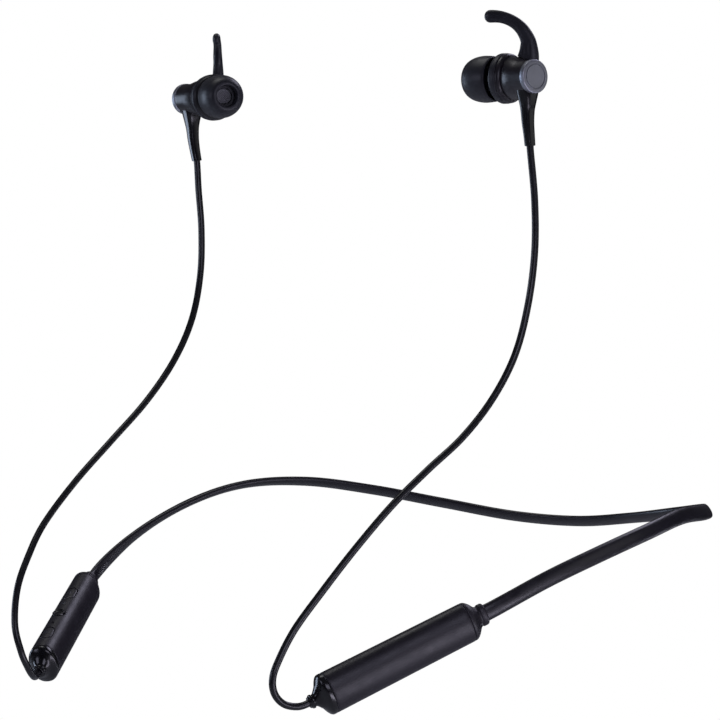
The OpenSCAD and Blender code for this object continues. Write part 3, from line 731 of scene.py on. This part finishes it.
def cup_profile():
    inner = HOUSING_R - 0.8
    return [(BORE_R, NOZZLE_FRONT + 0.3), (NOZZLE_R - 0.12, NOZZLE_FRONT + 0.3),
            (NOZZLE_R, NOZZLE_FRONT + 0.42), (NOZZLE_R, SLEEVE_END + 0.2),
            (NOZZLE_R + 0.2, SLEEVE_END + 0.45), (NOZZLE_R + 0.6, SLEEVE_END + 0.65),
            (HOUSING_R - 1.2, DRUM_FRONT - 0.65), (RING_R - 0.75, DRUM_FRONT - 0.35),
            (RING_R - 0.45, DRUM_FRONT - 0.1), (RING_R - 0.4, DRUM_FRONT + 0.02),
            (HOUSING_R, DRUM_FRONT + 0.05), (HOUSING_R, DRUM_BACK - 0.1), (inner, DRUM_BACK - 0.1),
            (inner, DRUM_FRONT + 0.6), (BORE_R + 0.5, DRUM_FRONT - 0.2), (BORE_R, DRUM_FRONT - 0.8)]


def end_profile():
    z, groove = BARREL_END + CAP_T, 3.1
    return [(0, z), (groove - 0.03, z), (groove, z - 0.04), (groove + 0.03, z - 0.2),
            (groove + 0.22, z - 0.2), (groove + 0.25, z - 0.04), (groove + 0.28, z), (CAP_R - 0.3, z),
            (CAP_R - 0.12, z - 0.05), (CAP_R - 0.02, z - 0.16), (CAP_R, z - 0.3),
            (CAP_R, BARREL_END + 0.2), (CAP_R - 0.06, BARREL_END + 0.06), (CAP_R - 0.2, BARREL_END),
            (3.45, BARREL_END), (3.45, BARREL_END - 0.8), (0, BARREL_END - 0.8)]


def ring_profile():
    inner = HOUSING_R + 0.05
    a, b = DRUM_FRONT + 0.15, DRUM_BACK - 0.15
    return [(inner, a), (RING_R - 0.35, a), (RING_R - 0.1, a + 0.15), (RING_R, a + 0.42),
            (RING_R, b - 0.42), (RING_R - 0.08, b - 0.15), (RING_R - 0.25, b), (inner, b)]


def grille():
    """Woven disc: the mesh rises and falls over a square grid of wires."""
    r, pitch, depth = NOZZLE_R - 0.1, 0.32, 0.05
    rounds, spokes = 26, 120
    verts = [vec(NOZZLE_FRONT, 0, 0)]
    for i in range(1, rounds + 1):
        for j in range(spokes):
            q, g = r * i / rounds, 2 * math.pi * j / spokes
            y, z = q * math.cos(g), q * math.sin(g)
            weave = math.sin(math.pi * y / pitch) * math.sin(math.pi * z / pitch)
            verts.append(vec(NOZZLE_FRONT + 0.06 + depth * weave, y, z))
    faces = [(0, 1 + j, 1 + (j + 1) % spokes) for j in range(spokes)]
    faces += loft_faces(spokes, rounds, 1)
    first = 1 + (rounds - 1) * spokes
    back = len(verts)
    verts += [vec(NOZZLE_FRONT + 0.3, r * math.cos(2 * math.pi * j / spokes),
                  r * math.sin(2 * math.pi * j / spokes)) for j in range(spokes)]
    verts.append(vec(NOZZLE_FRONT + 0.3, 0, 0))
    for j in range(spokes):
        k = (j + 1) % spokes
        faces += [(first + j, first + k, back + k, back + j), (back + j, back + k, len(verts) - 1)]
    return verts, faces


WING_ROUTE = [
    (8.6, 5.3, 3.4, 3.2, 1.7), (9.1, 5.7, 5.6, 2.9, 1.75), (9.2, 5.8, 8.1, 2.4, 1.6),
    (8.9, 5.6, 10.4, 2.0, 1.4), (7.6, 4.7, 13.1, 1.75, 1.25), (5.6, 3.4, 15.1, 1.6, 1.15),
    (3.2, 1.7, 16.3, 1.6, 1.1), (0.5, -0.1, 16.6, 1.7, 1.15)]
WING_SIDE = unit((0.61, -0.79, 0))
WING_CLEARANCE = [
    (0, 0), (RING_R - 0.2, 0), (RING_R - 0.2, DRUM_FRONT + 0.15), (HOUSING_R + 0.05, DRUM_FRONT + 0.15),
    (HOUSING_R + 0.05, DRUM_BACK - 0.15), (RING_R, DRUM_BACK - 0.15), (RING_R, DRUM_BACK + 1)]
WING_CLEARANCE += [(bowl_radius(i / 6) + WING_GAP, BOWL_START + (BOWL_END - BOWL_START) * i / 6)
                   for i in range(1, 6)]
WING_CLEARANCE += [(BARREL_R + 0.3, BOWL_END + 0.3), (BARREL_R + 0.3, BARREL_END), (0, BARREL_END)]


def wing_section(path, t, shrink=1.0, ahead=0.0):
    """Flat oval with a shallow groove along its outer face near the base."""
    p, direction = spline_at(path, t), spline_tangent(path, t)
    tall = unit(np.cross(WING_SIDE, direction))
    flat = np.cross(direction, tall)
    depth = 0.45 * max(0.0, 1 - abs(t - 1.6) / 2.0) * shrink
    ring = []
    for a, b in oval(p[3] * shrink, p[4] * shrink, 40, 2.3):
        groove = depth * math.exp(-((a - 0.5) / 0.85) ** 2) if b > 0 else 0
        ring.append(p[:3] + ahead * direction + a * tall + (b - groove) * flat)
    return ring


WING_ROOT = [(head_point(vec(6.1, 4.9, 4.9)), 0.9), (head_point(vec(6.1, 6.3, 2.6)), 0.9),
             (vec(8.9, 5.7, 4.8), 1.6), (vec(8.6, 5.5, 2.6), 1.5)]


def wing_web():
    """Skin stretched round balls, from the ring to the foot of the wing."""
    work = bmesh.new()
    for middle, r in WING_ROOT:
        for i in range(1, 18):
            for j in range(32):
                g, h = math.pi * i / 18, 2 * math.pi * j / 32
                work.verts.new(middle + r * vec(math.sin(g) * math.cos(h), math.sin(g) * math.sin(h),
                                                math.cos(g)))
    hull = bmesh.ops.convex_hull(work, input=work.verts)
    loose = [v for v in hull["geom_interior"] if isinstance(v, bmesh.types.BMVert)]
    bmesh.ops.delete(work, geom=loose, context="VERTS")
    work.verts.index_update()
    verts = [vec(*v.co) for v in work.verts]
    faces = [tuple(v.index for v in f.verts) for f in work.faces]
    work.free()
    return verts, faces


def make_wing(label, side):
    def placed(verts, faces):
        return [ear_point(v, side) for v in verts], faces

    path = with_ends(WING_ROUTE, (0.5, 1.2, 2.2, 0, 0), (-2.7, -1.8, -0.1, 0, 0))
    last = len(WING_ROUTE) - 1
    rings = [wing_section(path, i / 6) for i in range(6 * last + 1)]
    rings += [wing_section(path, last, math.cos(math.radians(g)), 1.6 * math.sin(math.radians(g)))
              for g in range(12, 85, 12)]
    wing = add_ear_piece(label, side, "hook", "ear_wing", "wing", *loft(rings), SILICONE, "silicone", 60)
    room, room_faces = lathe(WING_CLEARANCE)
    ring, ring_faces = lathe(ring_profile())
    join(wing, [placed(*wing_web())], 50)
    cut(wing, [placed(in_head(room), room_faces)], 50)
    join(wing, [placed(in_head(ring), ring_faces)], 50)


STEM_SECTIONS = [
    (STEM_X, 0.3, -2.4, 2.3, 3.0), (STEM_X, 0.4, -4.6, 2.25, 2.5), (STEM_X, 0.45, -7, 1.85, 1.95),
    (STEM_X - 0.1, 0.5, -9, 1.55, 1.65), (STEM_X - 0.2, 0.7, -12, 1.35, 1.5),
    (14.4, 1.2, -15.2, 1.2, 1.38), (*STEM_FOOT, 1.15, 1.3)]


def make_stem(label, side):
    u = unit(np.cross((0, 1, 0), STEM_UP))
    v = np.cross(STEM_UP, u)
    s = [np.array(x, float) for x in STEM_SECTIONS]
    path = [2 * s[0] - s[1]] + s + [2 * s[-1] - s[-2]]
    rings = []
    for i in range(8 * (len(s) - 1) + 1):
        p = spline_at(path, i / 8)
        rings.append([p[:3] + a * u + b * v for a, b in oval(p[3], p[4], 64, 3.6)])
    foot = s[-1]
    for drop, inset in ((0.05, 0.06), (0.1, 0.16), (0.12, 0.3)):
        rings.append([foot[:3] - drop * STEM_UP + a * u + b * v
                      for a, b in oval(foot[3] - inset, foot[4] - inset, 64, 3.0)])
    verts, faces = loft(rings)
    stem = add_ear_piece(label, side, "leg", "stem", "earpiece", verts, faces, GLOSS, "gloss_plastic", 35)
    barrel = lathe([(0, 0), (BARREL_R + 0.01, 0), (BARREL_R + 0.01, BARREL_END),
                    (CAP_R + 0.01, BARREL_END), (CAP_R + 0.01, 30), (0, 30)])
    cut(stem, [([ear_point(q, side) for q in barrel[0]], barrel[1])])


for label, side in (("left", 1), ("right", -1)):
    for name, part, body, profile, material, slot_name in (
            ("tip_dome", "ear_tip", "tip", tip_profile(), SILICONE, "silicone"),
            ("cup", "front_housing", "earpiece", cup_profile(), SATIN, "matt_plastic")):
        verts, faces = lathe(profile)
        add_ear_piece(label, side, name, part, body, in_head(verts), faces, material, slot_name)
    verts, faces = grille()
    add_ear_piece(label, side, "grille", "nozzle_mesh", "earpiece", in_head(verts), faces, MESH,
                  "mesh_metal", 0)
    add_ear_piece(label, side, "bowl", "rear_housing", "earpiece", *rear_housing(), SHELL,
                  "gloss_plastic")
    add_ear_piece(label, side, "end_disc", "end_cap", "earpiece", *lathe(end_profile()), ANODISED,
                  "anodised")
    make_wing(label, side)
    make_stem(label, side)


# ---------- inner parts: the CAD nodes stay, with their own materials ----------

INNER = {
    "wire_centre": STEEL, "wire_left": STEEL, "wire_right": STEEL, "button_switches": STEEL,
    "control_board": BOARD, "radio_chip": CHIP, "microphone": STEEL, "usb_socket": STEEL,
    "battery_cell": FOIL, "protection_board": BOARD, "foam_pad": FOAM, "left_driver": STEEL,
    "right_driver": STEEL, "left_snap_magnet": NICKEL, "right_snap_magnet": NICKEL}
for name, material in INNER.items():
    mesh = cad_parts[name].data
    mesh.materials.clear()
    mesh.materials.append(material)


# ---------- stage: pale floor and soft lights ----------

LIGHTS_AIM = Vector((0, -0.1, 0.04))
FLOOR_RADIUS, FLOOR_Z = 1.9, -0.25


def make_floor():
    work = bmesh.new()
    bmesh.ops.create_circle(work, cap_ends=True, segments=96, radius=FLOOR_RADIUS)
    mesh = bpy.data.meshes.new("floor")
    work.to_mesh(mesh)
    work.free()
    floor = bpy.data.objects.new("floor", mesh)
    floor.location = (0, -0.095, FLOOR_Z)
    bpy.context.scene.collection.objects.link(floor)
    mat = bpy.data.materials.new("pale_floor")
    mat.use_nodes = True
    tree = mat.node_tree
    shader = tree.nodes["Principled BSDF"]
    shader.inputs["Base Color"].default_value = (0.8, 0.81, 0.82, 1)
    shader.inputs["Roughness"].default_value = 0.9
    shader.inputs["Emission Color"].default_value = (0.97, 0.98, 1, 1)
    seen = tree.nodes.new("ShaderNodeLightPath")
    lift = tree.nodes.new("ShaderNodeMath")
    lift.operation = "MULTIPLY"
    lift.inputs[1].default_value = 0.72
    tree.links.new(seen.outputs["Is Camera Ray"], lift.inputs[0])
    tree.links.new(lift.outputs["Value"], shader.inputs["Emission Strength"])
    mesh.materials.append(mat)


def make_world():
    world = bpy.data.worlds.new("studio")
    bpy.context.scene.world = world
    world.use_nodes = True
    tree = world.node_tree
    link = tree.links.new
    seen = tree.nodes["Background"]
    seen.inputs["Color"].default_value = (1, 1, 1, 1)
    seen.inputs["Strength"].default_value = 1.0
    soft = tree.nodes.new("ShaderNodeBackground")
    soft.inputs["Strength"].default_value = 0.16
    place = tree.nodes.new("ShaderNodeTexCoord")
    split = tree.nodes.new("ShaderNodeSeparateXYZ")
    ramp = tree.nodes.new("ShaderNodeValToRGB")
    height = tree.nodes.new("ShaderNodeMapRange")
    height.inputs["From Min"].default_value = -1
    link(place.outputs["Generated"], split.inputs["Vector"])
    link(split.outputs["Z"], height.inputs["Value"])
    link(height.outputs["Result"], ramp.inputs["Fac"])
    stops = ramp.color_ramp.elements
    stops[0].position, stops[0].color = 0.0, (0.12, 0.12, 0.13, 1)
    stops[1].position, stops[1].color = 1.0, (0.55, 0.57, 0.62, 1)
    for position, tone in ((0.45, 0.10), (0.62, 0.16), (0.8, 0.45)):
        stop = stops.new(position)
        stop.color = (tone, tone, tone * 1.08, 1)
    link(ramp.outputs["Color"], soft.inputs["Color"])
    path = tree.nodes.new("ShaderNodeLightPath")
    mix = tree.nodes.new("ShaderNodeMixShader")
    link(path.outputs["Is Camera Ray"], mix.inputs["Fac"])
    link(soft.outputs["Background"], mix.inputs[1])
    link(seen.outputs["Background"], mix.inputs[2])
    link(mix.outputs["Shader"], tree.nodes["World Output"].inputs["Surface"])


def add_light(name, az, el, distance, width, height, power, color=(1, 1, 1)):
    """Soft box that faces the object from azimuth az and elevation el, in degrees."""
    a, e = math.radians(az), math.radians(el)
    back = Vector((math.sin(a) * math.cos(e), -math.cos(a) * math.cos(e), math.sin(e)))
    data = bpy.data.lights.new(name, "AREA")
    data.shape = "RECTANGLE"
    data.size, data.size_y = width, height
    data.energy = power
    data.color = color
    light = bpy.data.objects.new(name, data)
    light.location = LIGHTS_AIM + back * distance
    light.rotation_euler = back.to_track_quat("Z", "Y").to_euler()
    bpy.context.scene.collection.objects.link(light)


make_floor()
make_world()
add_light("front_box", 72, 14, 0.9, 0.5, 0.3, 1.3, (0.8, 0.79, 1.0))
add_light("fill_left", -8, 10, 0.9, 0.35, 0.3, 0.8, (0.77, 0.78, 1.0))
add_light("low_box", 104, -21, 0.7, 0.6, 0.12, 1.5, (0.86, 0.82, 1.0))
add_light("left_strip", -62, 3, 0.8, 0.2, 0.4, 1.4, (0.66, 0.78, 1.0))
add_light("back_top", -176, 44, 0.8, 0.6, 0.28, 1.9, (0.82, 0.8, 1.0))
add_light("back_low", 176, -24, 0.8, 0.3, 0.1, 1.2, (0.85, 0.86, 1.0))
add_light("top_box", -79, 72, 0.8, 0.4, 0.3, 1.0)
add_light("right_box", 135, 4, 0.8, 0.35, 0.35, 0.2)

scene = bpy.context.scene
scene.view_settings.view_transform = "Standard"
scene.view_settings.look = "None"
